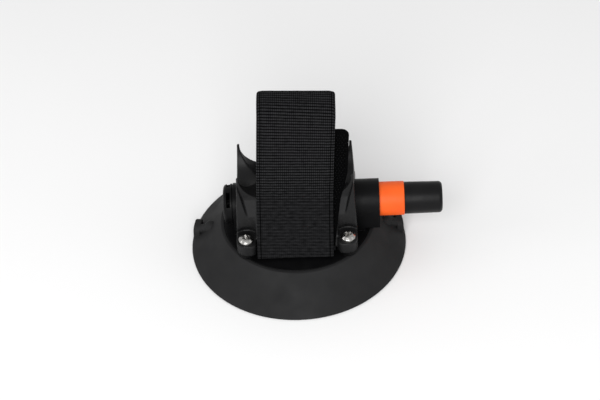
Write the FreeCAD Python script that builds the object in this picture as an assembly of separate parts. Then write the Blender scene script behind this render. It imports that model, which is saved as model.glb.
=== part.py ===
"""Vacuum-cup wheel holder: a hand-pumped suction cup carries a saddle, and a hook-and-loop strap ties a wheel
into it.

Millimetres, +Z up. The origin is the middle of the cup's sealing lip, on the surface that the cup grips. The
pump lies along X with its plunger towards +X, and the wheel rolls along X through the saddle.
"""

import FreeCAD
import Part

import math
import os

V = FreeCAD.Vector

# ---- driving dimensions ----------------------------------------------------------------------------------
CUP_RADIUS = 57.15  # a 4.5 inch cup
LIP_INNER_RADIUS = 54.0
SEAT_RADIUS = 39.0  # the pump body's flange sits in this recess
CUP_TOP_Z = 18.1
FLANGE_THICK = 3.0
WEB_THICK = 2.5
PLATE_THICK = 2.5
PLATE_RADIUS = 30.0
TAB_ANGLE = 8.6  # the release tabs stand this far round from the pump's axis
BUMP_RADIUS = 3.4
BUMP_AT = V(46.9, -2.6, 9.8)

PUMP_Z = 30.4
BARREL_RADIUS = 10.8
BORE_RADIUS = 9.5
BARREL_LEFT = -33.0
BARREL_RIGHT = 43.3
CHAMBER_LEFT = -27.5
INLET_X = -20.0
CAP_LEFT = -38.2
CAP_RADIUS = 10.5

RING_RADIUS = 8.9
KNOB_RADIUS = 8.45
RING_RIGHT = 56.3
KNOB_RIGHT = 76.2
PISTON_LEFT = 12.2
PISTON_RIGHT = 36.2

SCREW_X = 26.35  # the saddle's four screws stand this far out along the pump
SCREW_Y = 24.9  # and this far out across it
BOSS_RADIUS = 4.95
DECK_Z = 20.5
BOSS_TOP_Z = 27.0
SADDLE_HALF = SCREW_X + BOSS_RADIUS
RAIL_INNER = 21.2  # inner side of the two rails that join the bosses
FLOOR_Z = 46.4
CEILING_Z = 43.7
LIP_Y = 14.0
RAMP_FOOT_Y = 26.6
RAMP_FOOT_Z = 21.4
SKIN = 3.0
HORN_TOP_Z = 60.2
HORN_HALF = 29.8  # half the saddle's length at its horns' tips
TYRE_NOTCH_RADIUS = 12.4

STRAP_WIDTH = 39.4
STRAP_THICK = 1.8
STRAP_GAP = 0.3
HOOK_END_Z = 86.8

FIT = 0.05  # clearance between pieces that are pressed or screwed together
EPS = 0.01


# ---- outlines and solids ---------------------------------------------------------------------------------
def on_yz(u, v):
    return V(0, u, v)


def on_xz(u, v):
    return V(u, 0, v)


def on_xy(u, v):
    return V(u, v, 0)


def on_pump_axis(u, v):
    """u along the pump, v out from its axis."""
    return V(u, 0, PUMP_Z + v)


def outline(corners, place):
    """A closed wire through corners (u, v) or (u, v, radius). A radius rounds its corner with an arc."""
    flat = [V(c[0], c[1], 0) for c in corners]
    radii = [c[2] if len(c) > 2 else 0 for c in corners]
    edges, ends = [], []
    for i, (corner, radius) in enumerate(zip(flat, radii)):
        if not radius:
            ends.append((corner, corner, None))
            continue
        back = (flat[i - 1] - corner).normalize()
        on = (flat[(i + 1) % len(flat)] - corner).normalize()
        half = back.getAngle(on) / 2
        reach = radius / math.tan(half)
        middle = (back + on).normalize()
        centre = corner + middle * (radius / math.sin(half))
        ends.append((corner + back * reach, corner + on * reach, centre - middle * radius))
    put = [tuple(place(p.x, p.y) if p else None for p in e) for e in ends]
    for i, (first, last, mid) in enumerate(put):
        if mid:
            edges.append(Part.Arc(first, mid, last).toShape())
        start = put[(i + 1) % len(put)][0]
        if last.distanceToPoint(start) > 1e-6:
            edges.append(Part.LineSegment(last, start).toShape())
    return Part.Wire(edges)


def prism(corners, place, along, start, end):
    """An outline pushed from start to end along a unit vector."""
    face = Part.Face(outline(corners, place))
    face.translate(along * start)
    return face.extrude(along * (end - start))


def prism_x(corners, x0, x1):
    return prism(corners, on_yz, V(1, 0, 0), x0, x1)


def prism_y(corners, y0, y1):
    return prism(corners, on_xz, V(0, 1, 0), y0, y1)


def prism_z(corners, z0, z1):
    return prism(corners, on_xy, V(0, 0, 1), z0, z1)


def box(x0, x1, y0, y1, z0, z1):
    return Part.makeBox(x1 - x0, y1 - y0, z1 - z0, V(x0, y0, z0))


def turned_about_z(corners):
    return Part.Face(outline(corners, on_xz)).revolve(V(0, 0, 0), V(0, 0, 1), 360)


def turned_about_pump(corners):
    return Part.Face(outline(corners, on_pump_axis)).revolve(V(0, 0, PUMP_Z), V(1, 0, 0), 360)


def rod_x(radius, x0, x1, y=0.0, z=PUMP_Z):
    return Part.makeCylinder(radius, x1 - x0, V(x0, y, z), V(1, 0, 0))


def rod_z(radius, z0, z1, x=0.0, y=0.0):
    return Part.makeCylinder(radius, z1 - z0, V(x, y, z0), V(0, 0, 1))


def tube_x(outer, inner, x0, x1):
    return rod_x(outer, x0, x1).cut(rod_x(inner, x0 - 1, x1 + 1))


def tube_z(outer, inner, z0, z1, x=0.0, y=0.0):
    return rod_z(outer, z0, z1, x, y).cut(rod_z(inner, z0 - 1, z1 + 1, x, y))


def mirrored(points):
    """Corners on the -u side, from the middle line outwards, joined to their mirror images."""
    other = [(-c[0], *c[1:]) for c in reversed(points)]
    return points + [c for c in other if abs(c[0]) > 1e-9]


def screw_places():
    return [(sx * SCREW_X, sy * SCREW_Y) for sx in (-1, 1) for sy in (-1, 1)]


# ---- suction cup and what clamps it ----------------------------------------------------------------------
WEB_TOP_Z = CUP_TOP_Z - FLANGE_THICK
WEB_LOW_Z = WEB_TOP_Z - WEB_THICK
PLATE_LOW_Z = WEB_LOW_Z - PLATE_THICK
PORT_RADIUS = 6.0
CLAMP_SCREW_RING = 22.0
CLAMP_SHANK_RADIUS = 1.5
CLAMP_HOLE_RADIUS = 1.9
FILTER_RADIUS = 4.1


def clamp_screw_places():
    angles = [math.radians(45 + 90 * k) for k in range(4)]
    return [(CLAMP_SCREW_RING * math.cos(a), CLAMP_SCREW_RING * math.sin(a)) for a in angles]


def release_tab():
    """An upright flap on the rim for a fingertip, and a rounded bump behind it, built at +X."""
    foot = CUP_RADIUS - 4.6
    front_view = mirrored([(-5.6, 0.8), (-4.7, 9.5, 3.6)])
    flap = prism_x(front_view, foot, CUP_RADIUS - 0.9)
    flap = flap.makeFillet(0.8, [e for e in flap.Edges if e.BoundBox.ZMin > 2])
    bump = Part.makeSphere(BUMP_RADIUS, BUMP_AT)
    neck = Part.makeCylinder(BUMP_RADIUS - 1.1, foot + 1 - BUMP_AT.x, BUMP_AT, V(1, 0.1, -0.45))
    return flap.fuse([bump, neck])


def vacuum_cup():
    under = [(33.0, WEB_LOW_Z, 3.0), (47.5, 3.4, 8.0), (LIP_INNER_RADIUS, 0)]
    body = turned_about_z([
        (PORT_RADIUS + FIT, WEB_TOP_Z), (PORT_RADIUS + FIT, WEB_LOW_Z), *under, (CUP_RADIUS - 0.45, 0, 0.2),
        (CUP_RADIUS, 0.9, 0.4), (CUP_RADIUS - 0.9, 2.0, 1.0), (48.2, 9.4, 30.0),
        (SEAT_RADIUS + 1.6, CUP_TOP_Z, 0.9), (SEAT_RADIUS, CUP_TOP_Z, 0.2), (SEAT_RADIUS, WEB_TOP_Z),
    ])
    tab = release_tab()
    tab.rotate(V(0, 0, 0), V(0, 0, 1), TAB_ANGLE)
    body = body.fuse([tab, tab.mirror(V(0, 0, 0), V(1, 0, 0))])
    body = body.cut(turned_about_z([(0, -1), (0, WEB_LOW_Z), *under, (LIP_INNER_RADIUS, -1)]))
    for x, y in clamp_screw_places():
        body = body.cut(rod_z(CLAMP_HOLE_RADIUS, WEB_LOW_Z - 1, WEB_TOP_Z + 1, x, y))
    return body.removeSplitter()


def clamp_plate():
    inner = FILTER_RADIUS + 0.1
    plate = turned_about_z([(inner, PLATE_LOW_Z), (PLATE_RADIUS, PLATE_LOW_Z, 1.0),
                            (PLATE_RADIUS, WEB_LOW_Z - FIT), (inner, WEB_LOW_Z - FIT)])
    for x, y in clamp_screw_places():
        plate = plate.cut(rod_z(CLAMP_HOLE_RADIUS, PLATE_LOW_Z - 1, WEB_LOW_Z, x, y))
    return plate


def clamp_screw(x, y):
    """A self-tapping screw driven up from inside the cup, flat head under the plate, shank into the flange."""
    head = rod_z(3.4, PLATE_LOW_Z - 1.6, PLATE_LOW_Z - EPS, x, y)
    head = head.makeFillet(0.6, [e for e in head.Edges if e.BoundBox.ZMax < PLATE_LOW_Z - 1.5])
    shank = rod_z(CLAMP_SHANK_RADIUS, PLATE_LOW_Z - 1, CUP_TOP_Z - 0.9, x, y)
    drive = cross_recess(1.5, 0.8, 0.5)
    drive.rotate(V(0, 0, 0), V(1, 0, 0), 180)
    drive.translate(V(x, y, PLATE_LOW_Z - 1.6))
    return head.fuse(shank).cut(drive)


def cross_recess(reach, depth, width):
    """A cross-shaped driver recess, point down, whose mouth is at the origin."""
    taper = prism_y(mirrored([(-reach * 0.35, -depth), (-reach, 0.3)]), -width, width)
    other = taper.copy()
    other.rotate(V(0, 0, 0), V(0, 0, 1), 90)
    return taper.fuse(other)


def clamp_screws():
    return [clamp_screw(x, y) for x, y in clamp_screw_places()]


def inlet_filter():
    """A felt disc that keeps grit out of the inlet, held in the plate's middle."""
    return rod_z(FILTER_RADIUS, PLATE_LOW_Z + 0.3, WEB_LOW_Z - FIT)


# ---- pump body -------------------------------------------------------------------------------------------
POST_RADIUS = 4.6
DECK_RAIL_X = 20.6  # inner side of the rails that carry the saddle's
INSERT_RADIUS = 2.4
INSERT_LOW_Z = 15.9
MOUTH_LEFT = 36.4
COUNTERBORE_RADIUS = 9.9
SEAT_LOW_Z = 17.2  # the inlet valve's disc lies in a pocket from here
SEAT_TOP_Z = 19.6  # up to here
INLET_DISC_RADIUS = 3.1
DUCT_HALF = 1.8  # half the width of the way from the cup's middle to the inlet valve
DUCT_LOW_Z = 14.4
DUCT_TOP_Z = 17.0


def stadium(half_width, top_radius, z_low):
    """The barrel's section: round above the pump's axis, straight-sided below it."""
    return [(-half_width, z_low), (-half_width, PUMP_Z + top_radius, top_radius - EPS),
            (half_width, PUMP_Z + top_radius, top_radius - EPS), (half_width, z_low)]


def pump_body():
    flange = turned_about_z([(0, WEB_TOP_Z + FIT), (SEAT_RADIUS - 0.1, WEB_TOP_Z + FIT),
                             (SEAT_RADIUS - 0.1, CUP_TOP_Z, 0.4), (0, CUP_TOP_Z)])
    spigot = rod_z(PORT_RADIUS, WEB_LOW_Z, WEB_TOP_Z + 1)
    overhang = SEAT_RADIUS - 3.5
    section = stadium(BARREL_RADIUS, BARREL_RADIUS, CUP_TOP_Z - 1)
    barrel = prism_x(section, BARREL_LEFT, overhang)
    nose = prism_x(stadium(BARREL_RADIUS, BARREL_RADIUS, 19.8), overhang, BARREL_RIGHT)
    body = flange.fuse([spigot, barrel, nose])
    for side in (-1, 1):
        low, high = sorted((side * DECK_RAIL_X, side * (SCREW_X + 1.5)))
        body = body.fuse(box(low, high, -SCREW_Y, SCREW_Y, CUP_TOP_Z - 1, DECK_Z - 0.4))
    for x, y in screw_places():
        body = body.fuse(rod_z(POST_RADIUS, CUP_TOP_Z - 1, DECK_Z, x, y))
    body = body.cut(tube_z(CUP_RADIUS, SEAT_RADIUS - 0.1, WEB_TOP_Z, CUP_TOP_Z + FIT))
    body = body.cut(rod_x(BORE_RADIUS, CHAMBER_LEFT - 1, BARREL_RIGHT + 1))
    body = body.cut(rod_x(COUNTERBORE_RADIUS, BARREL_LEFT - 1, CHAMBER_LEFT))
    for x, y in screw_places():
        body = body.cut(rod_z(INSERT_RADIUS + FIT, INSERT_LOW_Z - FIT, DECK_Z + 1, x, y))
    for x, y in clamp_screw_places():
        body = body.cut(rod_z(CLAMP_SHANK_RADIUS + FIT, WEB_TOP_Z - 1, CUP_TOP_Z - 0.8, x, y))
    inlet = rod_z(DUCT_HALF, DUCT_TOP_Z - 1.2, PUMP_Z - 5, INLET_X)
    inlet = inlet.fuse(rod_z(INLET_DISC_RADIUS + 0.3, SEAT_LOW_Z, SEAT_TOP_Z, INLET_X))
    duct = box(INLET_X - DUCT_HALF, DUCT_HALF, -DUCT_HALF, DUCT_HALF, DUCT_LOW_Z, DUCT_TOP_Z)
    duct = duct.fuse(rod_z(DUCT_HALF, WEB_LOW_Z - 1, DUCT_TOP_Z))
    return body.cut(inlet.fuse(duct)).removeSplitter()


def threaded_inserts():
    """Knurled brass inserts in the deck's posts, one under each saddle screw."""
    pieces = []
    for x, y in screw_places():
        insert = rod_z(INSERT_RADIUS, INSERT_LOW_Z, DECK_Z - EPS, x, y)
        groove = tube_z(INSERT_RADIUS + 1, INSERT_RADIUS - 0.3, 17.9, 18.6, x, y)
        pieces.append(insert.cut(groove).cut(rod_z(SHANK_RADIUS + FIT, INSERT_LOW_Z - 1, DECK_Z + 1, x, y)))
    return pieces


def inlet_valve():
    """A rubber disc that lifts off its seat when the pump draws, and falls shut when it pushes."""
    return rod_z(INLET_DISC_RADIUS, SEAT_LOW_Z + FIT, SEAT_LOW_Z + 0.9, INLET_X)


VALVE_HOLE_RING = 3.6


def valve_plate():
    """Closes the chamber's blind end. Its six holes let air out past the exhaust valve."""
    plate = rod_x(COUNTERBORE_RADIUS - FIT, CHAMBER_LEFT - 2.5, CHAMBER_LEFT - EPS)
    groove = tube_x(COUNTERBORE_RADIUS + 1, COUNTERBORE_RADIUS - 1.1, CHAMBER_LEFT - 1.9, CHAMBER_LEFT - 0.6)
    plate = plate.cut(groove)
    for k in range(6):
        angle = math.radians(60 * k)
        y, z = VALVE_HOLE_RING * math.cos(angle), PUMP_Z + VALVE_HOLE_RING * math.sin(angle)
        plate = plate.cut(rod_x(1.1, CHAMBER_LEFT - 3, CHAMBER_LEFT + 1, y, z))
    return plate


def valve_plate_seal():
    outer = COUNTERBORE_RADIUS - 0.02
    return tube_x(outer, outer - 0.98, CHAMBER_LEFT - 1.85, CHAMBER_LEFT - 0.65)


def exhaust_valve():
    """A rubber disc that lifts off the valve plate while the plunger is pushed in."""
    return rod_x(6.0, CHAMBER_LEFT - 3.55, CHAMBER_LEFT - 2.55)


VENT_LEFT = -36.4
VENT_RIGHT = -34.5
VENT_TILT = 36.0  # the two slots stand this far to either side of the top
VENT_SWEEP = 48.0
CAP_WALL = 1.7


def vent(middle_degrees):
    """One slot through the end cap's wall, swept about the pump's axis."""
    low, high = CAP_RADIUS / 2, CAP_RADIUS + 2
    corners = [(VENT_LEFT, low), (VENT_RIGHT, low), (VENT_RIGHT, high), (VENT_LEFT, high)]
    face = Part.Face(outline(corners, on_pump_axis))
    sector = face.revolve(V(0, 0, PUMP_Z), V(1, 0, 0), VENT_SWEEP)
    sector.rotate(V(0, 0, PUMP_Z), V(1, 0, 0), middle_degrees - VENT_SWEEP / 2)
    return sector


def end_cap():
    """The vented cap on the blind end. Its collar holds the valve plate, and its stem stops the valve."""
    inner = CAP_RADIUS - CAP_WALL
    collar = COUNTERBORE_RADIUS - FIT
    cap = turned_about_pump([
        (CAP_LEFT, 0), (CAP_LEFT, CAP_RADIUS - 0.3, 2.2), (BARREL_LEFT - 0.4, CAP_RADIUS, 0.3),
        (BARREL_LEFT - 0.4, collar), (CHAMBER_LEFT - 2.55, collar), (CHAMBER_LEFT - 2.55, collar - 1.6),
        (BARREL_LEFT - 1.5, inner), (CAP_LEFT + CAP_WALL, inner), (CAP_LEFT + CAP_WALL, 2.2),
        (CHAMBER_LEFT - 4.5, 2.2), (CHAMBER_LEFT - 4.5, 0),
    ])
    for tilt in (-VENT_TILT, VENT_TILT):
        cap = cap.cut(vent(tilt))
    return cap


def guide_ring():
    """The slim bush in the barrel's mouth that guides the plunger and keeps the piston in."""
    return tube_x(BORE_RADIUS - 0.02, RING_RADIUS + 0.08, MOUTH_LEFT, BARREL_RIGHT - 0.3)


# ---- plunger ---------------------------------------------------------------------------------------------
SEAL_LEFT = 14.2
SEAL_WIDTH = 3.0
SPIGOT_RADIUS = 7.2
ROD_RADIUS = 4.2
PISTON_WALL = PISTON_RIGHT - 3.2  # inner face of the piston's closed end
PISTON_SCREW_RADIUS = 1.5
PISTON_SCREW_RIGHT = 48.0


def plunger_knob():
    """The thumb cap: a hollow black sleeve, closed and rounded at its outer end."""
    return turned_about_pump([
        (RING_RIGHT + EPS, SPIGOT_RADIUS - 1.4), (RING_RIGHT - 5, SPIGOT_RADIUS - 1.4),
        (RING_RIGHT - 5, SPIGOT_RADIUS - FIT), (RING_RIGHT + EPS, SPIGOT_RADIUS - FIT),
        (RING_RIGHT + EPS, KNOB_RADIUS, 0.3), (KNOB_RIGHT, KNOB_RADIUS - 0.25, 1.8), (KNOB_RIGHT, 0),
        (KNOB_RIGHT - 2.4, 0), (KNOB_RIGHT - 2.4, SPIGOT_RADIUS - 1.0, 0.6),
        (RING_RIGHT + 1.5, SPIGOT_RADIUS - 1.0),
    ])


def indicator_ring():
    """The bright sleeve that shows while the cup has no vacuum, and is drawn out of sight as it pumps down."""
    return turned_about_pump([
        (PISTON_RIGHT + EPS, SPIGOT_RADIUS), (PISTON_RIGHT + EPS, RING_RADIUS, 0.3),
        (RING_RIGHT, RING_RADIUS, 0.35), (RING_RIGHT, SPIGOT_RADIUS),
    ])


def plunger_rod():
    rod = rod_x(ROD_RADIUS, PISTON_RIGHT + EPS, KNOB_RIGHT - 2.45)
    return rod.cut(rod_x(PISTON_SCREW_RADIUS + FIT, PISTON_RIGHT - 1, PISTON_SCREW_RIGHT + 0.2))


def piston():
    """A hollow piston open towards the chamber, which takes the spring, with a groove for its seal."""
    outer, seal_right = BORE_RADIUS - 0.25, SEAL_LEFT + SEAL_WIDTH
    body = turned_about_pump([
        (PISTON_WALL, 0), (PISTON_WALL, 6.9, 0.5), (PISTON_LEFT, 6.9), (PISTON_LEFT, outer, 0.5),
        (SEAL_LEFT, outer), (SEAL_LEFT, 7.8), (seal_right, 7.8), (seal_right, outer),
        (PISTON_RIGHT, outer, 0.4), (PISTON_RIGHT, 0),
    ])
    spigot = tube_x(SPIGOT_RADIUS - FIT, SPIGOT_RADIUS - 1.4, PISTON_RIGHT - EPS, PISTON_RIGHT + 2.2)
    return body.fuse(spigot).cut(rod_x(PISTON_SCREW_RADIUS + FIT, PISTON_WALL - 1, PISTON_RIGHT + 1))


def piston_seal():
    return tube_x(BORE_RADIUS - 0.04, 7.84, SEAL_LEFT + 0.2, SEAL_LEFT + SEAL_WIDTH - 0.2)


def piston_screw():
    head = rod_x(3.2, PISTON_WALL - 2.0, PISTON_WALL - EPS)
    return head.fuse(rod_x(PISTON_SCREW_RADIUS, PISTON_WALL - 1, PISTON_SCREW_RIGHT))


SPRING_WIRE = 0.6
SPRING_RADIUS = 5.6
SPRING_TURNS = 13


def return_spring():
    """Stands between the valve plate and the piston's inner wall, and pushes the plunger out."""
    left = CHAMBER_LEFT + SPRING_WIRE + FIT
    right = PISTON_WALL - SPRING_WIRE - FIT
    pitch = (right - left) / SPRING_TURNS
    helix = Part.makeHelix(pitch, right - left, SPRING_RADIUS)
    start = Part.Wire(Part.makeCircle(SPRING_WIRE, V(SPRING_RADIUS, 0, 0), V(0, 1, 0)))
    coil = Part.Wire(helix.Edges).makePipeShell([start], True, True)
    coil.rotate(V(0, 0, 0), V(0, 1, 0), 90)
    coil.translate(V(left, 0, PUMP_Z))
    return coil


# ---- saddle ----------------------------------------------------------------------------------------------
HORN_FOOT_Y = 19.2
HORN_KNEE = (18.4, 40.5)
HORN_TIP_Y = 14.3
DIP_FLAT_X = 16.0
DIP_RADIUS = 12.5
PASSAGE_HALF = 20.0
POCKET_RADIUS = 8.4  # the clearance over each screw's head undercuts the wall behind it this far at its foot
POCKET_RISE = 14.0  # and narrows to nothing this far above the foot


def ramp_y(z):
    """How far out the ramp's outer face is at a height."""
    share = (FLOOR_Z - z) / (FLOOR_Z - RAMP_FOOT_Z)
    return LIP_Y + share * (RAMP_FOOT_Y - LIP_Y)


def ramp_block():
    """The roof that the strap lies on: a flat floor with a sloping side towards the front and the back."""
    side = mirrored([(-RAMP_FOOT_Y, RAMP_FOOT_Z, 0.8), (-LIP_Y, FLOOR_Z, 2.0)])
    return prism_x(side, -RAIL_INNER, RAIL_INNER)


def horn_block():
    """Everything from which the end walls and their horns are cut."""
    side = mirrored([(-HORN_FOOT_Y, BOSS_TOP_Z - 1), (-HORN_KNEE[0], HORN_KNEE[1], 6.0),
                     (-HORN_TIP_Y, HORN_TOP_Z, 1.0)])
    front = mirrored([(-SADDLE_HALF, BOSS_TOP_Z - 1), (-HORN_HALF, HORN_TOP_Z)])
    return prism_x(side, -SADDLE_HALF, SADDLE_HALF).common(prism_y(front, -HORN_FOOT_Y, HORN_FOOT_Y))


def dip():
    """What is taken out between the horns, seen from the front: a flat floor that curves up to each end."""
    centre_z = FLOOR_Z + DIP_RADIUS
    tool = box(-DIP_FLAT_X, DIP_FLAT_X, -40, 40, FLOOR_Z, FLOOR_Z + 40)
    for side in (-1, 1):
        round_end = Part.makeCylinder(DIP_RADIUS, 80, V(side * DIP_FLAT_X, -40, centre_z), V(0, 1, 0))
        tool = tool.fuse(round_end)
    upper = box(-DIP_FLAT_X - DIP_RADIUS, DIP_FLAT_X + DIP_RADIUS, -40, 40, centre_z, centre_z + 30)
    return tool.fuse(upper)


def strap_recess(side):
    """What is taken out in front of the ramp between the horns, wider at the top. side is -1 for the front."""
    front_view = mirrored([(-19.6, 20.0), (-19.6, 27.0), (-25.2, 37.0, 14.0), (-28.6, 51.0), (-31.8, 64.0)])
    reach = prism_y(front_view, 0, 40)
    side_view = [(HORN_TIP_Y - 0.6, 64.0), (LIP_Y, FLOOR_Z), (ramp_y(20.0), 20.0), (60.0, 20.0), (60.0, 64.0)]
    ahead = prism_x(side_view, -35, 35)
    tool = reach.common(ahead)
    if side < 0:
        tool = tool.mirror(V(0, 0, 0), V(0, 1, 0))
    return tool


def rail(side):
    """One of the two feet that carry the screws, along Y at an end of the saddle."""
    x0, x1 = side * RAIL_INNER, side * SADDLE_HALF
    half = SCREW_Y + BOSS_RADIUS
    return prism_z([(x0, -half, 2.5), (x1, -half, BOSS_RADIUS - EPS), (x1, half, BOSS_RADIUS - EPS),
                    (x0, half, 2.5)], DECK_Z + FIT, BOSS_TOP_Z)


def strap_passage():
    """The hollow under the roof, through which the strap crosses above the pump."""
    foot, top = ramp_y(DECK_Z - 1), ramp_y(CEILING_Z)
    across = SKIN * math.hypot(1, (RAMP_FOOT_Y - LIP_Y) / (FLOOR_Z - RAMP_FOOT_Z))
    return prism_x(mirrored([(-(foot - across), DECK_Z - 1), (-(top - across), CEILING_Z, 1.5)]),
                   -PASSAGE_HALF, PASSAGE_HALF)


def screw_pocket(x, y):
    """The cone-shaped clearance over a saddle screw, kept to the rail's own width."""
    cone = Part.makeCone(POCKET_RADIUS, 0, POCKET_RISE, V(x, y, BOSS_TOP_Z))
    low, high = sorted((math.copysign(RAIL_INNER, x), 2 * x))
    return cone.common(box(low, high, -40, 40, BOSS_TOP_Z, BOSS_TOP_Z + POCKET_RISE))


def wheel_cradle():
    horns = horn_block().cut(dip())
    for side in (-1, 1):
        horns = horns.cut(strap_recess(side))
    notch = rod_x(TYRE_NOTCH_RADIUS, -40, 40, 0, FLOOR_Z + 0.5 + TYRE_NOTCH_RADIUS)
    mouth = box(-40, 40, -TYRE_NOTCH_RADIUS, TYRE_NOTCH_RADIUS, FLOOR_Z + 0.5 + TYRE_NOTCH_RADIUS, 80)
    horns = horns.cut(notch.fuse(mouth))
    rails = [rail(side) for side in (-1, 1)]
    skirts = [box(low, low + SADDLE_HALF - RAIL_INNER, -HORN_FOOT_Y, HORN_FOOT_Y, DECK_Z + FIT, BOSS_TOP_Z)
              for low in (-SADDLE_HALF, RAIL_INNER)]
    saddle = horns.fuse([ramp_block(), *rails, *skirts])
    saddle = saddle.cut(strap_passage())
    clear = BARREL_RADIUS + 0.3
    saddle = saddle.cut(prism_x(stadium(clear, clear, DECK_Z - 1), -40, 40))
    for x, y in screw_places():
        saddle = saddle.cut(rod_z(SHANK_RADIUS + 0.3, DECK_Z - 1, BOSS_TOP_Z + 1, x, y))
        saddle = saddle.cut(screw_pocket(x, y))
    return saddle.removeSplitter()


HEAD_RADIUS = 3.8
HEAD_HEIGHT = 2.7
SHANK_RADIUS = 1.6
SCREW_TURNS = (18.0, 63.0, 40.0, 75.0)  # where each cross ends up when its screw is tight


def cradle_screw(x, y, turn):
    """A pan-head machine screw with a cross recess."""
    low = BOSS_TOP_Z + EPS
    head = turned_about_z([(0, low), (HEAD_RADIUS, low), (HEAD_RADIUS, low + 1.3, 0.4),
                           (HEAD_RADIUS - 1.5, low + HEAD_HEIGHT - 0.2, 2.0), (0, low + HEAD_HEIGHT)])
    recess = cross_recess(2.1, 1.6, 0.5)
    recess.translate(V(0, 0, low + HEAD_HEIGHT - 0.15))
    screw = head.fuse(rod_z(SHANK_RADIUS, INSERT_LOW_Z + 0.3, low + 0.5)).cut(recess)
    screw.rotate(V(0, 0, 0), V(0, 0, 1), turn)
    screw.translate(V(x, y, 0))
    return screw


def cradle_screws():
    return [cradle_screw(x, y, turn) for (x, y), turn in zip(screw_places(), SCREW_TURNS)]


# ---- strap -----------------------------------------------------------------------------------------------
FOOT_LEAN = -1.0  # how far the strap's middle stands towards +X at the ramp's foot
TOP_LEAN = 2.5  # and where it crosses the rim
HOOK_LEAN = 9.0  # and at its hook end, which is laid on a little askew
LAYER = STRAP_THICK + STRAP_GAP
ARCH_RADIUS = 7.2
ARCH_Z = 93.2
PEEL_Y = -2.0  # where the tail starts to peel away from the arch
SEAM_Z = 23.0  # where the hook tape is sewn to the webbing
CROWN_Z = PUMP_Z + BARREL_RADIUS
RAMP_OFF = math.hypot(RAMP_FOOT_Y - LIP_Y, FLOOR_Z - RAMP_FOOT_Z)


def band(line, low, high):
    """The section (y, z) of a flat band that lies from low to high off the left side of a line of
    corners (y, z, radius)."""
    points = [V(p[0], p[1], 0) for p in line]
    steps = [(b - a).normalize() for a, b in zip(points, points[1:])]
    sides = ([], [])
    for i, here in enumerate(points):
        before, after = steps[max(i - 1, 0)], steps[min(i, len(steps) - 1)]
        left = V(-before.y - after.y, before.x + after.x, 0) * (1 / (1 + before.dot(after)))
        radius = line[i][2] if len(line[i]) > 2 else 0
        turn = math.copysign(1, before.cross(after).z)
        for side, off in zip(sides, (low, high)):
            put = here + left * off
            side.append((put.x, put.y, radius - turn * off if radius else 0))
    return sides[0] + sides[1][::-1]


def strap_piece(line, layer, edge_points):
    """A length of the strap, so many layers off a line. edge_points (middle x, z, radius) shape its two edges
    as seen from the front."""
    half = STRAP_WIDTH / 2
    right = [(p[0] + half, *p[1:]) for p in edge_points]
    left = [(p[0] - half, *p[1:]) for p in reversed(edge_points)]
    low = STRAP_GAP + layer * LAYER
    return prism_x(band(line, low, low + STRAP_THICK), -40, 40).common(prism_y(right + left, -60, 60))


def front_line(first):
    """The surface that the strap lies on in front, from a height on the ramp to the side of the rim."""
    return [(-ramp_y(first), first), (-LIP_Y, FLOOR_Z, 14.0), (-12.6, 60.0, 40.0)]


def strap_hook_end():
    """The hook tape sewn to the strap's lower end: up the front ramp and past the tyre, hooks outwards."""
    line = [*front_line(SEAM_Z), (-ARCH_RADIUS - 1.2, HOOK_END_Z)]
    edges = [(0, 15.0), (0, 24.0), (3.6, FLOOR_Z, 30.0), (7.4, 60.0, 20.0),
             (HOOK_LEAN, HOOK_END_Z - 0.5, 4.0)]
    return strap_piece(line, 0, edges)


def strap_webbing():
    """The strap's fixed length: over the rim, down the back, and through the saddle to the seam."""
    wall = SKIN * RAMP_OFF / (FLOOR_Z - RAMP_FOOT_Z)
    top, turn_z = ARCH_Z + ARCH_RADIUS, RAMP_FOOT_Z - 0.2
    foot, ceiling = ramp_y(turn_z), ramp_y(CEILING_Z) - wall
    line = [(PEEL_Y + STRAP_GAP / 2, top), (ARCH_RADIUS, top, ARCH_RADIUS), (ARCH_RADIUS, 88.0, 40.0),
            (12.6, 60.0, 60.0), (LIP_Y, FLOOR_Z, 14.0), (foot, turn_z, 0.4), (foot - wall, turn_z, 0.4),
            (ceiling, CEILING_Z, 3.0), (-ceiling, CEILING_Z, 3.0), (wall - foot, turn_z, 0.4),
            (-foot, turn_z, 0.4), (-ramp_y(SEAM_Z - 0.05), SEAM_Z - 0.05)]
    edges = [(0, 15.0), (0, CROWN_Z + 6), (TOP_LEAN, ARCH_Z, 30.0), (TOP_LEAN, ARCH_Z + 12)]
    return strap_piece(line, 0, edges)


def strap_tail():
    """The loop-faced free end, pressed down over the hooks to the foot of the ramp."""
    top = ARCH_Z + ARCH_RADIUS - LAYER
    line = [*front_line(RAMP_FOOT_Z - 1.6), (-ARCH_RADIUS + 0.6, top, 3.0), (PEEL_Y - STRAP_GAP / 2, top)]
    edges = [(FOOT_LEAN, 10.0), (FOOT_LEAN, 20.0), (-0.2, 50.0, 150.0), (TOP_LEAN, 98.0), (TOP_LEAN, 108.0)]
    return strap_piece(line, 1, edges)


# ---- all nodes -------------------------------------------------------------------------------------------
NODES = {
    "vacuum_cup": vacuum_cup,
    "clamp_plate": clamp_plate,
    "clamp_screws": clamp_screws,
    "inlet_filter": inlet_filter,
    "pump_body": pump_body,
    "threaded_inserts": threaded_inserts,
    "inlet_valve": inlet_valve,
    "valve_plate": valve_plate,
    "valve_plate_seal": valve_plate_seal,
    "exhaust_valve": exhaust_valve,
    "end_cap": end_cap,
    "guide_ring": guide_ring,
    "plunger_knob": plunger_knob,
    "indicator_ring": indicator_ring,
    "plunger_rod": plunger_rod,
    "piston": piston,
    "piston_seal": piston_seal,
    "piston_screw": piston_screw,
    "return_spring": return_spring,
    "wheel_cradle": wheel_cradle,
    "cradle_screws": cradle_screws,
    "strap_hook_end": strap_hook_end,
    "strap_webbing": strap_webbing,
    "strap_tail": strap_tail,
}


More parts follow.
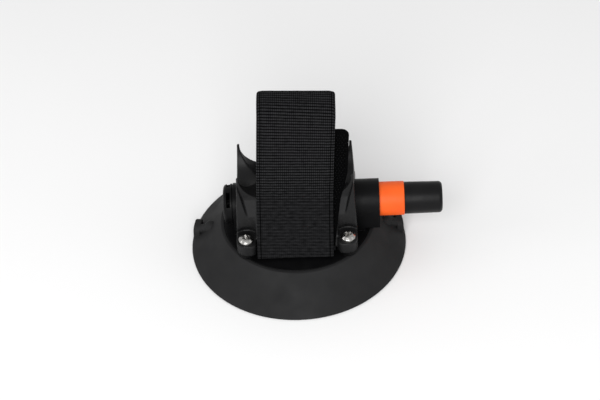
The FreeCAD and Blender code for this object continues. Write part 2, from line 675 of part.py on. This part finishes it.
def main():
    os.makedirs("parts", exist_ok=True)
    for name, make in NODES.items():
        made = make()
        pieces = made if isinstance(made, list) else made.Solids
        shape = pieces[0] if len(pieces) == 1 else Part.makeCompound(pieces)
        volumes = ", ".join(f"{s.Volume:.1f}" for s in shape.Solids)
        print(f"{name}: {len(shape.Solids)} solid(s), valid {shape.isValid()}, mm3 {volumes}")
        shape.exportStep(f"parts/{name}.step")


main()
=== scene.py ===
"""The visual model of the vacuum-cup wheel holder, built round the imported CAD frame. Metres, +Z up."""

import math

import bmesh
import bpy
import numpy as np
from mathutils import Matrix, Vector


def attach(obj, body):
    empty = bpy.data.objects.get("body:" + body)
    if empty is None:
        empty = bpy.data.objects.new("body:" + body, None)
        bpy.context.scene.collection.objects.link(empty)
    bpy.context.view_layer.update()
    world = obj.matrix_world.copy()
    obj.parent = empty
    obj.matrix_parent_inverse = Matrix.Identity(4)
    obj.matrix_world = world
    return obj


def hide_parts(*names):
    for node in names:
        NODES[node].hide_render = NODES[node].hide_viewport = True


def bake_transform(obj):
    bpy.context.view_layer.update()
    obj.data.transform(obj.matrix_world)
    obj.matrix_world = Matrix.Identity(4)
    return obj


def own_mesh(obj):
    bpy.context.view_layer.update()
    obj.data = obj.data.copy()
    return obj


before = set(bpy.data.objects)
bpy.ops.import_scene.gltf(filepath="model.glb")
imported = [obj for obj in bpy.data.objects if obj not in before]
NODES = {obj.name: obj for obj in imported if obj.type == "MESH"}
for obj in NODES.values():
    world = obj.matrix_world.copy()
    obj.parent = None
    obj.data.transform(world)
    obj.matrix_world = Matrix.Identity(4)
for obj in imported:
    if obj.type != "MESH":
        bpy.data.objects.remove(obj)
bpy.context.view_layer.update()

MM = 0.001

# ---- sizes shared with the CAD, in millimetres -----------------------------------------------------------
PUMP_Z = 30.4
RING_RADIUS, RING_LEFT, RING_RIGHT = 8.9, 36.2, 56.3
KNOB_RADIUS, KNOB_RIGHT, SPIGOT_RADIUS = 8.45, 76.2, 7.2
LIP_Y, FLOOR_Z, FOOT_Y, FOOT_Z = 14.0, 46.4, 26.6, 21.4
CEILING_Z, SKIN = 43.7, 3.0
STRAP_WIDTH, STRAP_THICK, STRAP_GAP = 39.4, 1.8, 0.3
LAYER = STRAP_THICK + STRAP_GAP
ARCH_RADIUS, ARCH_Z = 7.2, 93.2
PEEL_Y, SEAM_Z, HOOK_END_Z = -2.0, 23.0, 87.4
FOOT_LEAN, TOP_LEAN, HOOK_LEAN = -1.0, 2.5, 9.0


# ---- materials -------------------------------------------------------------------------------------------
def material(name, color, roughness, metallic=0.0, specular=0.5):
    """A principled material and its node tree. Values that are the same all over sit on the shader itself."""
    mat = bpy.data.materials.new(name)
    mat.use_nodes = True
    tree = mat.node_tree
    shader = tree.nodes["Principled BSDF"]
    shader.inputs["Base Color"].default_value = (*color, 1.0)
    shader.inputs["Roughness"].default_value = roughness
    shader.inputs["Metallic"].default_value = metallic
    shader.inputs["Specular IOR Level"].default_value = specular
    mat.diffuse_color = (*color, 1.0)
    return mat, tree, shader


def node(tree, kind, **values):
    made = tree.nodes.new(kind)
    for key, value in values.items():
        if hasattr(made, key):
            setattr(made, key, value)
        else:
            made.inputs[key.replace("_", " ")].default_value = value
    return made


def coordinates(tree, uv=False):
    return tree.nodes.new("ShaderNodeTexCoord").outputs["UV" if uv else "Object"]


def noise(tree, scale, detail=3.0, stretch=None, uv=False):
    """Fractal noise over the object, its scale in cycles per metre, or per millimetre of strap with uv."""
    place = coordinates(tree, uv)
    if stretch:
        mapping = node(tree, "ShaderNodeMapping")
        mapping.inputs["Scale"].default_value = stretch
        tree.links.new(place, mapping.inputs["Vector"])
        place = mapping.outputs["Vector"]
    made = node(tree, "ShaderNodeTexNoise", Scale=scale, Detail=detail)
    tree.links.new(place, made.inputs["Vector"])
    return made.outputs["Fac"]


def ramp(tree, fac, low, high, start=0.3, end=0.7):
    """fac turned into a colour or a grey between two ends."""
    made = node(tree, "ShaderNodeValToRGB")
    for stop, at, value in zip(made.color_ramp.elements, (start, end), (low, high)):
        stop.position = at
        stop.color = (*value, 1.0) if hasattr(value, "__len__") else (value, value, value, 1.0)
    tree.links.new(fac, made.inputs["Fac"])
    return made.outputs["Color"]


def bump(tree, shader, height, distance, strength=1.0, rounding=0.0):
    """Bumps the shader's surface, over edges rounded by some metres."""
    made = node(tree, "ShaderNodeBump", Strength=strength, Distance=distance)
    tree.links.new(height, made.inputs["Height"])
    if rounding:
        edge = node(tree, "ShaderNodeBevel", samples=6, Radius=rounding)
        tree.links.new(edge.outputs["Normal"], made.inputs["Normal"])
    tree.links.new(made.outputs["Normal"], shader.inputs["Normal"])


def moulded(name, low, high, rough, grain=2600.0, depth=0.00004, rounding=0.0003, specular=0.5,
            mottle=90.0):
    """Moulded plastic or rubber: a fine spark-eroded grain, and colour and gloss that wander a little."""
    middle = [(a + b) / 2 for a, b in zip(low, high)]
    mat, tree, shader = material(name, middle, sum(rough) / 2, specular=specular)
    tree.links.new(ramp(tree, noise(tree, mottle, 4.0), low, high), shader.inputs["Base Color"])
    tree.links.new(ramp(tree, noise(tree, mottle * 2.3, 5.0), *rough), shader.inputs["Roughness"])
    bump(tree, shader, noise(tree, grain, 2.0), depth, 0.6, rounding)
    return mat


def metal(name, color, rough, stretch, scale=900.0, rounding=0.0002):
    """Metal with fine drawn or turned lines and faint smears."""
    mat, tree, shader = material(name, color, sum(rough) / 2, metallic=1.0)
    lines = noise(tree, scale, 4.0, stretch)
    tree.links.new(ramp(tree, lines, *rough), shader.inputs["Roughness"])
    smeared = [c * 0.82 for c in color]
    tree.links.new(ramp(tree, noise(tree, 320.0), smeared, color), shader.inputs["Base Color"])
    bump(tree, shader, lines, 0.00002, 0.35, rounding)
    return mat


def maths(tree, operation, *values):
    """A Math node over sockets and numbers."""
    made = node(tree, "ShaderNodeMath", operation=operation)
    for socket, value in zip(made.inputs, values):
        if isinstance(value, (int, float)):
            socket.default_value = value
        else:
            tree.links.new(value, socket)
    return made.outputs[0]


def wave(tree, distance, period):
    """1 on the middle of each rib or thread, which are a period apart, and 0 between them."""
    return maths(tree, "ABSOLUTE", maths(tree, "SINE", maths(tree, "MULTIPLY", distance, math.pi / period)))


def softly(tree, value, share):
    """A factor from 0 to 1 that counts only by a share."""
    return maths(tree, "MULTIPLY_ADD", value, share, 1 - share)


RIB, COLUMN = 1.66, 1.05  # millimetres from rib to rib, and from thread to thread across them
SELVEDGE = 1.9  # how far in from its edges the webbing has a groove, with painted shade along it
FLATTENED, WHOLE = 0.04, 0.064  # metres up: the weave is rubbed flat below the first, whole above the second
WEAVE_MEAN = 0.38


def woven(name, valley_shade, crest, rib, column):
    """Ribbed webbing, with painted shade between its ribs and threads and its crests lighter as painted
    highlight. The ribs are in the mesh; the threads across them are here.
    """
    mat, tree, shader = material(name, crest, 0.8, specular=0.03)
    split = node(tree, "ShaderNodeSeparateXYZ")
    tree.links.new(coordinates(tree, uv=True), split.inputs["Vector"])
    across, along = split.outputs["X"], split.outputs["Y"]
    # the threads and ribs paint shade into the colour between them, and also bump the surface
    threads = softly(tree, maths(tree, "POWER", wave(tree, across, column), 0.7), 0.85)
    weave = maths(tree, "MULTIPLY", wave(tree, along, rib), threads)

    # the weave's painted shade and its bump are both weakened low down, where the strap is rubbed flat
    place = node(tree, "ShaderNodeSeparateXYZ")
    tree.links.new(coordinates(tree), place.inputs["Vector"])
    kept = node(tree, "ShaderNodeMapRange", interpolation_type="SMOOTHSTEP", From_Min=FLATTENED,
                From_Max=WHOLE, To_Min=0.22, To_Max=1.0)
    tree.links.new(place.outputs["Z"], kept.inputs["Value"])
    contrast = maths(tree, "SUBTRACT", weave, WEAVE_MEAN)
    rubbed = maths(tree, "MULTIPLY_ADD", contrast, kept.outputs["Result"], WEAVE_MEAN)

    blotch = maths(tree, "MULTIPLY_ADD", noise(tree, 0.34, 5.0, (1.0, 2.4, 1.0), uv=True), 1.5, 0.3)
    fuzz = noise(tree, 2.6, 4.0, uv=True)
    lit = maths(tree, "MULTIPLY", rubbed, blotch)
    lit = maths(tree, "MULTIPLY_ADD", fuzz, 0.3, maths(tree, "SUBTRACT", lit, 0.15))
    # painted shade in the groove beside each woven edge
    from_groove = maths(tree, "SUBTRACT", STRAP_WIDTH / 2 - SELVEDGE, maths(tree, "ABSOLUTE", across))
    beside = maths(tree, "DIVIDE", maths(tree, "ABSOLUTE", from_groove), 0.5)
    lit = maths(tree, "MULTIPLY", lit, softly(tree, maths(tree, "MINIMUM", beside, 1.0), 0.8))
    # the colour runs from painted shade between the ribs and threads to the crest colour, a painted highlight,
    # on them
    tree.links.new(ramp(tree, lit, valley_shade, crest, 0.2, 0.9), shader.inputs["Base Color"])
    bump(tree, shader, maths(tree, "MULTIPLY_ADD", fuzz, 0.7, rubbed), 0.0003, 0.9)
    return mat


RUBBER = moulded("cup_rubber", (0.0095, 0.0095, 0.0099), (0.0135, 0.0135, 0.014), (0.62, 0.8), grain=1900.0,
                 depth=0.00003, rounding=0.0004, specular=0.2, mottle=38.0)
BODY = moulded("pump_black", (0.0022, 0.0022, 0.0024), (0.0038, 0.0038, 0.0041), (0.36, 0.5), specular=0.09)
SADDLE = moulded("saddle_black", (0.007, 0.007, 0.0073), (0.0105, 0.0105, 0.0109), (0.34, 0.48), grain=2200.0,
                 rounding=0.0, specular=0.18)
KNOB = moulded("knob_black", (0.004, 0.004, 0.0043), (0.0062, 0.0062, 0.0066), (0.34, 0.46), grain=3000.0,
               depth=0.00002, specular=0.13)
ORANGE = moulded("indicator_orange", (0.85, 0.1, 0.012), (0.92, 0.13, 0.017), (0.42, 0.55), depth=0.00002,
                 specular=0.2)
VALVE = moulded("valve_rubber", (0.016, 0.016, 0.016), (0.024, 0.024, 0.024), (0.5, 0.68))
FELT = moulded("filter_felt", (0.42, 0.39, 0.34), (0.6, 0.56, 0.5), (0.85, 0.98), grain=1500.0, depth=0.0004,
               rounding=0.0, specular=0.1, mottle=420.0)
STEEL = metal("stainless", (0.5, 0.49, 0.47), (0.14, 0.3), (1.0, 1.0, 1.0))
ZINC = metal("zinc_plate", (0.58, 0.59, 0.6), (0.3, 0.5), (1.0, 14.0, 1.0), 260.0)
BRASS = metal("brass", (0.78, 0.56, 0.24), (0.25, 0.42), (1.0, 1.0, 6.0))
ALUMINIUM = metal("rod_aluminium", (0.78, 0.79, 0.8), (0.25, 0.4), (9.0, 1.0, 1.0))
SPRING = metal("spring_steel", (0.5, 0.5, 0.51), (0.22, 0.36), (1.0, 1.0, 1.0))
# first colour: painted shade between the ribs and threads; second: their crests, lighter as painted highlight
WEBBING = woven("webbing", (0.0008, 0.0008, 0.0009), (0.0265, 0.0265, 0.028), RIB, COLUMN)
HOOK_TAPE = woven("hook_tape", (0.0004, 0.0004, 0.0005), (0.0016, 0.0016, 0.0018), 1.4, 1.2)
HOOKS = moulded("hook_studs", (0.002, 0.002, 0.0022), (0.004, 0.004, 0.0043), (0.35, 0.5), grain=4000.0,
                rounding=0.0, specular=0.1)


# ---- mesh helpers ----------------------------------------------------------------------------------------
def new_object(name, vertices, faces, mat, uvs=None, sharp=None):
    """A mesh object from points in millimetres, smooth except over edges sharper than an angle in degrees."""
    mesh = bpy.data.meshes.new(name)
    mesh.from_pydata([Vector(v) * MM for v in vertices], [], faces)
    if uvs is not None:
        layer = mesh.uv_layers.new(name="UVMap")
        for loop in mesh.loops:
            layer.data[loop.index].uv = uvs[loop.vertex_index]
    mesh.validate()
    mesh.shade_smooth()
    if sharp:
        mesh.set_sharp_from_angle(angle=math.radians(sharp))
    mesh.materials.append(mat)
    made = bpy.data.objects.new(name, mesh)
    bpy.context.scene.collection.objects.link(made)
    return made


def facing_out(obj):
    bm = bmesh.new()
    bm.from_mesh(obj.data)
    bmesh.ops.recalc_face_normals(bm, faces=bm.faces)
    bm.to_mesh(obj.data)
    bm.free()
    return obj


def place(obj, body, slot, *replaced):
    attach(obj, body)
    if replaced:
        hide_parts(*replaced)


def fillets(corners, steps=8):
    """The points (u, v) of a line of corners (u, v, radius), its rounded corners cut into steps."""
    points = [np.array(c[:2], float) for c in corners]
    radii = [c[2] if len(c) > 2 else 0.0 for c in corners]
    line = []
    for i, (corner, radius) in enumerate(zip(points, radii)):
        if not radius or i in (0, len(points) - 1):
            line.append(corner)
            continue
        back, on = points[i - 1] - corner, points[i + 1] - corner
        back, on = back / np.linalg.norm(back), on / np.linalg.norm(on)
        half = math.acos(float(np.clip(back @ on, -1, 1))) / 2
        middle = (back + on) / np.linalg.norm(back + on)
        centre = corner + middle * (radius / math.sin(half))
        first, last = corner + back * radius / math.tan(half), corner + on * radius / math.tan(half)
        sweep = math.pi - 2 * half
        a, b = first - centre, last - centre
        for k in range(steps + 1):
            t = k / steps
            line.append(centre + (math.sin((1 - t) * sweep) * a + math.sin(t * sweep) * b) / math.sin(sweep))
    return np.array(line)


def lathe(name, profile, mat, around=128):
    """A closed profile (u, v, radius) turned about the pump's axis, u along it and v out from it."""
    closed = fillets([profile[-1], *profile, profile[0]])[1:-1]
    vertices, faces = [], []
    for k in range(around):
        c, s = math.cos(math.tau * k / around), math.sin(math.tau * k / around)
        vertices += [(u, v * s, PUMP_Z + v * c) for u, v in closed]
    n = len(closed)
    for k in range(around):
        for i in range(n):
            j, m = (i + 1) % n, (k + 1) % around
            faces.append((k * n + i, k * n + j, m * n + j, m * n + i))
    return facing_out(new_object(name, vertices, faces, mat, sharp=50))


def softened(name, node_name, mat, voxel, passes):
    """A CAD node's shape with its edges rounded off as a moulding's are, by voxels of some millimetres."""
    mesh = NODES[node_name].data.copy()
    made = bpy.data.objects.new(name, mesh)
    bpy.context.scene.collection.objects.link(made)
    remesh = made.modifiers.new("remesh", "REMESH")
    remesh.mode, remesh.voxel_size = "VOXEL", voxel * MM
    smooth = made.modifiers.new("smooth", "SMOOTH")
    smooth.factor, smooth.iterations = 0.5, passes
    bpy.context.view_layer.update()
    result = bpy.data.meshes.new_from_object(made.evaluated_get(bpy.context.evaluated_depsgraph_get()))
    made.modifiers.clear()
    made.data = result
    result.materials.clear()
    result.materials.append(mat)
    result.shade_smooth()
    return made


# ---- strap -----------------------------------------------------------------------------------------------
def ramp_y(z):
    return LIP_Y + (FLOOR_Z - z) / (FLOOR_Z - FOOT_Z) * (FOOT_Y - LIP_Y)


def gone(line):
    """How far along a line each of its points is."""
    return np.concatenate([[0], np.cumsum(np.linalg.norm(np.diff(line, axis=0), axis=1))])


def evenly(line, step, ruler=None):
    """Points along a line, a step apart as its ruler measures, with what the ruler says at each."""
    lengths = gone(line if ruler is None else ruler)
    at = np.linspace(0, lengths[-1], max(2, int(round(lengths[-1] / step)) + 1))
    return np.stack([np.interp(at, lengths, column) for column in line.T], axis=1), at


def eased(values, width):
    """values smoothed by a running mean, ends kept."""
    padded = np.concatenate([np.full(width, values[0]), values, np.full(width, values[-1])])
    return np.convolve(padded, np.ones(2 * width + 1) / (2 * width + 1), "valid")


TOP_TILT = 0.046  # the strap's top runs down this much towards +X
TOP_RISE = 0.7  # and stands this much proud of the rim
PULL_Z, PULL_RISE = 60.0, 38.0  # the height from which it is pulled askew, and the rise to where it is all so
CURL, CURL_WIDTH = 1.1, 2.4  # how far its edges are drawn down where it folds over the rim, and how wide
CURL_Z, CURL_RISE = 94.0, 5.0  # the height from which they curl, and the rise to where they curl fully


def settled(x, z):
    """A height on the strap, once its fold over the rim has pulled askew and curled at its edges."""
    pulled = float(np.clip((z - PULL_Z) / PULL_RISE, 0, 1)) ** 1.5
    curled = float(np.clip((z - CURL_Z) / CURL_RISE, 0, 1))
    outward = max(0.0, 1 - (STRAP_WIDTH / 2 - abs(x)) / CURL_WIDTH)
    return z + (TOP_RISE - TOP_TILT * x) * pulled - CURL * outward ** 2 * curled


FACE_MARGIN = 0.35  # the strap's flat faces stop this far in from its edges
EDGE_DROP, EDGE_WIDTH = 0.12, 1.4  # and its outer face comes down towards them
EDGE_BULGE = ((0.1, 0.72), (0.0, 0.5), (0.1, 0.28))  # how far in its points are, and up through the thickness


def plain(x, s):
    return 0.0


def ribbon(name, corners, low, high, middle, mat, across=64, relief=plain, step=0.3, round_end=0.0):
    """A length of strap that lies from low to high off the left of a line (y, z). middle(z, share) gives the x
    of its middle, share of the way along, and relief(x, s) how far its outer face stands out from high."""
    dense, _ = evenly(fillets(corners, 16), 0.1)
    tangent = np.gradient(dense, axis=0)
    tangent /= np.linalg.norm(tangent, axis=1)[:, None]
    left = np.stack([eased(-tangent[:, 1], 5), eased(tangent[:, 0], 5)], axis=1)
    rows, along = evenly(np.hstack([dense, left]), step, ruler=dense + left * high)
    cut_length = gone(dense + left * (low + high) / 2)[-1]
    length, half, thick = along[-1], STRAP_WIDTH / 2, high - low
    outer_xs = np.linspace(FACE_MARGIN - half, half - FACE_MARGIN, across)
    drops = [EDGE_DROP * (1 + math.cos(math.pi * min(1.0, (half - abs(x)) / EDGE_WIDTH))) for x in outer_xs]
    edge = [(half - inset, low + thick * up) for inset, up in EDGE_BULGE]
    under = [(x, low) for x in np.linspace(half - FACE_MARGIN, FACE_MARGIN - half, across // 4)]
    other_edge = [(-x, off) for x, off in reversed(edge)]
    vertices, uvs = [], []
    for (y, z, ny, nz), s in zip(rows, along):
        end = max(0.0, round_end - (length - s))
        narrow = round_end - math.sqrt(max(round_end ** 2 - end ** 2, 0.0))
        centre = middle(z, s / length)
        scale = (half - narrow) / half
        outer = [(x, high - drop + relief(x, s)) for x, drop in zip(outer_xs, drops)]
        row = outer + edge + under + other_edge
        for x, off in row:
            vertices.append((centre + x * scale, y + ny * off, settled(x, z + nz * off)))
            uvs.append((x, s + RIB_SKEW * x))
    n, last = len(row), len(rows) - 1
    faces = [(i * n + j, i * n + (j + 1) % n, (i + 1) * n + (j + 1) % n, (i + 1) * n + j)
             for i in range(last) for j in range(n)]
    faces += [tuple(range(n)), tuple(range(last * n, (last + 1) * n))]
    return facing_out(new_object(name, vertices, faces, mat, uvs, sharp=75)), cut_length


RIB_DEPTH = 0.5
RIB_SKEW = 0.035  # how much the ribs run askew of the strap
GROOVE_DEPTH, GROOVE_WIDTH = 0.3, 0.35
DRIFT = 0.05  # how uneven the outer face is
WORN_LENGTH = 34.0  # how much of the tail lies on the ramp


def ribs(x, s):
    """Round ribs across the strap, a groove beside each woven edge, and a slight unevenness."""
    inward = STRAP_WIDTH / 2 - abs(x)
    edge = min(1.0, inward / 1.2)
    crest = abs(math.sin(math.pi * (s + RIB_SKEW * x) / RIB)) ** 0.6
    groove = GROOVE_DEPTH * math.exp(-((inward - SELVEDGE) / GROOVE_WIDTH) ** 2)
    drift = DRIFT * math.sin(0.9 * x + 0.7 * math.sin(s / 7.0)) * math.sin(s / 3.1)
    return RIB_DEPTH * (crest - 1) * (0.3 + 0.7 * edge) - groove + drift * edge - 0.03


def worn_ribs(x, s):
    """The tail's ribs, which are pressed flat where it is pulled down over the ramp."""
    pressed = float(np.clip((WORN_LENGTH - s) / WORN_LENGTH, 0, 1)) ** 0.5
    return ribs(x, s) * (1 - 0.75 * pressed)


def front_line(first):
    return [(-ramp_y(first), first), (-LIP_Y, FLOOR_Z, 14.0), (-12.6, 60.0, 40.0)]


def tail_middle(z, share):
    heights, middles = (20.0, 33.0, 50.0, 70.0, 85.0, 98.0), (FOOT_LEAN, -0.7, -0.2, 0.8, 1.7, TOP_LEAN)
    return float(np.interp(z, heights, middles))


def webbing_middle(z, share):
    """The loop leans only as far as the back of the rim, which is less than half of its way."""
    if share > 0.42:
        return 0.0
    return float(np.interp(z, (CEILING_Z, ARCH_Z), (0.0, TOP_LEAN)))


def hook_middle(z, share=0.0):
    heights, middles = (24.0, 43.0, FLOOR_Z, 56.0, 62.0, HOOK_END_Z), (0.0, 3.0, 3.7, 6.2, 7.5, HOOK_LEAN)
    return float(np.interp(z, heights, middles))


HOOK_RINGS = ((0.0, 0.26, 0.0), (0.6, 0.2, 0.15), (1.0, 0.24, 0.75), (0.9, 0.1, 1.3))
HOOK_LEAN_OVER = 0.32  # millimetres that a hook's tip is bent over, for each whole shift of its rings


def hook_studs(corners, base, height, pitch, margin):
    """Rows of little hooks that stand up from the hook tape, leaning by turns each way. HOOK_RINGS says how
    high each square ring of a hook stands, its radius, and how far it is shifted over."""
    line, _ = evenly(fillets(corners, 16), pitch)
    tangent = np.gradient(line, axis=0)
    tangent /= np.linalg.norm(tangent, axis=1)[:, None]
    half = STRAP_WIDTH / 2 - margin
    count = int(2 * half / pitch)
    vertices, faces = [], []
    for row, ((y, z), (ty, tz)) in enumerate(zip(line[2:-2], tangent[2:-2])):
        for k in range(count + 1):
            x = -half + pitch * (k + 0.5 * (row % 2))
            if x > half:
                continue
            lean = HOOK_LEAN_OVER * (1 if k % 2 else -1)
            first = len(vertices)
            for up, radius, shift in HOOK_RINGS:
                for angle in (math.radians(45 + 90 * quarter) for quarter in range(4)):
                    off, slide = base + height * up, radius * math.sin(angle) + lean * shift
                    px = hook_middle(z) + x + radius * math.cos(angle)
                    vertices.append((px, y - tz * off + ty * slide, settled(x, z + ty * off + tz * slide)))
            for ring in range(len(HOOK_RINGS) - 1):
                for j in range(4):
                    a, b = first + ring * 4 + j, first + ring * 4 + (j + 1) % 4
                    faces.append((a, b, b + 4, a + 4))
            faces += [tuple(range(first, first + 4)), tuple(range(len(vertices) - 4, len(vertices)))]
    return facing_out(new_object("strap_hook_studs", vertices, faces, HOOKS, sharp=60))


TAPE_THICK = 1.0
TOP = ARCH_Z + ARCH_RADIUS
WALL = SKIN * math.hypot(FOOT_Y - LIP_Y, FLOOR_Z - FOOT_Z) / (FLOOR_Z - FOOT_Z)
TURN_Z = FOOT_Z - 0.2
TURN_Y, CEILING_Y = ramp_y(TURN_Z), ramp_y(CEILING_Z) - WALL
tail_line = [*front_line(FOOT_Z - 2.8), (-ARCH_RADIUS + 0.6, TOP - LAYER, 3.0),
             (PEEL_Y - STRAP_GAP / 2, TOP - LAYER)]
webbing_line = [
    (PEEL_Y - STRAP_GAP / 2, TOP), (ARCH_RADIUS, TOP, ARCH_RADIUS), (ARCH_RADIUS, 88.0, 40.0),
    (12.6, 60.0, 60.0), (LIP_Y, FLOOR_Z, 14.0), (TURN_Y, TURN_Z, 0.4), (TURN_Y - WALL, TURN_Z, 0.4),
    (CEILING_Y, CEILING_Z, 3.0), (-CEILING_Y, CEILING_Z, 3.0), (WALL - TURN_Y, TURN_Z, 0.4),
    (-TURN_Y, TURN_Z, 0.4), (-ramp_y(SEAM_Z), SEAM_Z)]
hook_line = [*front_line(SEAM_Z), (-ARCH_RADIUS - 1.2, HOOK_END_Z)]

tail, tail_length = ribbon("strap_tail_band", tail_line, STRAP_GAP + LAYER, STRAP_GAP + LAYER + STRAP_THICK,
                           tail_middle, WEBBING, relief=worn_ribs, step=0.2)
webbing, webbing_length = ribbon("strap_loop_band", webbing_line, STRAP_GAP, STRAP_GAP + STRAP_THICK,
                                 webbing_middle, WEBBING, relief=ribs, step=0.26)
hook, hook_length = ribbon("strap_hook_band", hook_line, STRAP_GAP, STRAP_GAP + TAPE_THICK, hook_middle,
                           HOOK_TAPE, round_end=3.5)
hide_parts("strap_tail")
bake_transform(tail)
place(webbing, "mount", "webbing", "strap_webbing")
place(hook, "mount", "hook_tape", "strap_hook_end")
studs = hook_studs(hook_line, STRAP_GAP + TAPE_THICK - 0.05, 0.75, 1.5, 1.6)
place(studs, "mount", "hook_tape")

# ---- mouldings -------------------------------------------------------------------------------------------
place(softened("wheel_saddle", "wheel_cradle", SADDLE, voxel=0.42, passes=6), "mount", "saddle_plastic",
      "wheel_cradle")
place(lathe("knob_sleeve", [
    (RING_RIGHT + 0.05, SPIGOT_RADIUS - 1.4), (RING_RIGHT - 5, SPIGOT_RADIUS - 1.4),
    (RING_RIGHT - 5, SPIGOT_RADIUS - 0.05), (RING_RIGHT + 0.05, SPIGOT_RADIUS - 0.05),
    (RING_RIGHT + 0.05, KNOB_RADIUS, 0.35), (KNOB_RIGHT, KNOB_RADIUS - 0.25, 1.9), (KNOB_RIGHT, 0.001),
    (KNOB_RIGHT - 2.4, 0.001), (KNOB_RIGHT - 2.4, SPIGOT_RADIUS - 1.0, 0.6),
    (RING_RIGHT + 1.5, SPIGOT_RADIUS - 1.0)], KNOB), "plunger", "knob_plastic", "plunger_knob")
place(lathe("orange_sleeve", [
    (RING_LEFT + 0.05, SPIGOT_RADIUS), (RING_LEFT + 0.05, RING_RADIUS, 0.3), (RING_RIGHT, RING_RADIUS, 0.35),
    (RING_RIGHT, SPIGOT_RADIUS)], ORANGE), "plunger", "orange_plastic", "indicator_ring")

# ---- spring ----------------------------------------------------------------------------------------------
spring = bpy.data.objects.new("return_coil", NODES["return_spring"].data.copy())
bpy.context.scene.collection.objects.link(spring)
spring.data.materials.clear()
spring.data.materials.append(SPRING)
place(spring, "mount", "spring_steel", "return_spring")
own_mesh(spring)

# ---- finishes of the CAD nodes that are shown as they are ------------------------------------------------
FINISHES = {
    RUBBER: ["vacuum_cup"],
    BODY: ["pump_body", "valve_plate", "end_cap", "guide_ring", "piston"],
    VALVE: ["inlet_valve", "valve_plate_seal", "exhaust_valve", "piston_seal"],
    STEEL: ["clamp_screws", "piston_screw", "cradle_screws"],
    ZINC: ["clamp_plate"],
    BRASS: ["threaded_inserts"],
    FELT: ["inlet_filter"],
    ALUMINIUM: ["plunger_rod"],
}
for finish, names in FINISHES.items():
    for name in names:
        slots = NODES[name].data.materials
        slots.clear()
        slots.append(finish)


# ---- room, light and camera ------------------------------------------------------------------------------
def floor():
    half = 3.0
    mat, tree, shader = material("studio_floor", (0.9, 0.9, 0.9), 0.85, specular=0.1)
    tree.links.new(ramp(tree, noise(tree, 3.0), 0.9, 0.92), shader.inputs["Base Color"])
    corners = [(-half, -half, 0), (half, -half, 0), (half, half, 0), (-half, half, 0)]
    mesh = bpy.data.meshes.new("studio_floor")
    mesh.from_pydata(corners, [], [(0, 1, 2, 3)])
    mesh.materials.append(mat)
    made = bpy.data.objects.new("studio_floor", mesh)
    bpy.context.scene.collection.objects.link(made)


def softbox(name, azimuth, elevation, distance, size, power):
    """A square light that looks at the object. Azimuth 0 is in front of it, and 90 is on its +X side."""
    light = bpy.data.lights.new(name, "AREA")
    light.shape, light.size, light.energy = "SQUARE", size, power
    made = bpy.data.objects.new(name, light)
    bpy.context.scene.collection.objects.link(made)
    a, e = math.radians(azimuth), math.radians(elevation)
    out = Vector((math.sin(a) * math.cos(e), -math.cos(a) * math.cos(e), math.sin(e)))
    made.location = Vector((0, 0, 0.04)) + out * distance
    made.rotation_euler = out.to_track_quat("Z", "Y").to_euler()


def studio():
    world = bpy.data.worlds.new("studio")
    bpy.context.scene.world = world
    world.use_nodes = True
    background = world.node_tree.nodes["Background"]
    background.inputs["Color"].default_value = (1.0, 1.0, 1.0, 1.0)
    background.inputs["Strength"].default_value = 0.62
    softbox("key", -8, 35, 1.2, 0.8, 11.0)
    softbox("left", -80, 28, 1.2, 0.5, 1.6)
    softbox("right", 75, 32, 1.2, 0.5, 0.6)
    bpy.context.scene.view_settings.view_transform = "Standard"


ELEVATION, AZIMUTH, ROLL = (math.radians(d) for d in (43.18, 1.84, -3.19))
DISTANCE = 0.9949
AIM = Vector((0.00181, 0, 0.03129))
LENS = 113.9


def camera():
    back = Vector((math.sin(AZIMUTH) * math.cos(ELEVATION), -math.cos(AZIMUTH) * math.cos(ELEVATION),
                   math.sin(ELEVATION)))
    level = Vector((math.cos(AZIMUTH), math.sin(AZIMUTH), 0))
    rise = back.cross(level)
    right = level * math.cos(ROLL) + rise * math.sin(ROLL)
    up = rise * math.cos(ROLL) - level * math.sin(ROLL)
    data = bpy.data.cameras.new("camera")
    data.sensor_width, data.lens, data.clip_end = 36.0, LENS, 20.0
    made = bpy.data.objects.new("camera", data)
    bpy.context.scene.collection.objects.link(made)
    turned = Matrix((right, up, back)).transposed().to_4x4()
    made.matrix_world = Matrix.Translation(AIM + back * DISTANCE) @ turned
    bpy.context.scene.camera = made


floor()
studio()
camera()
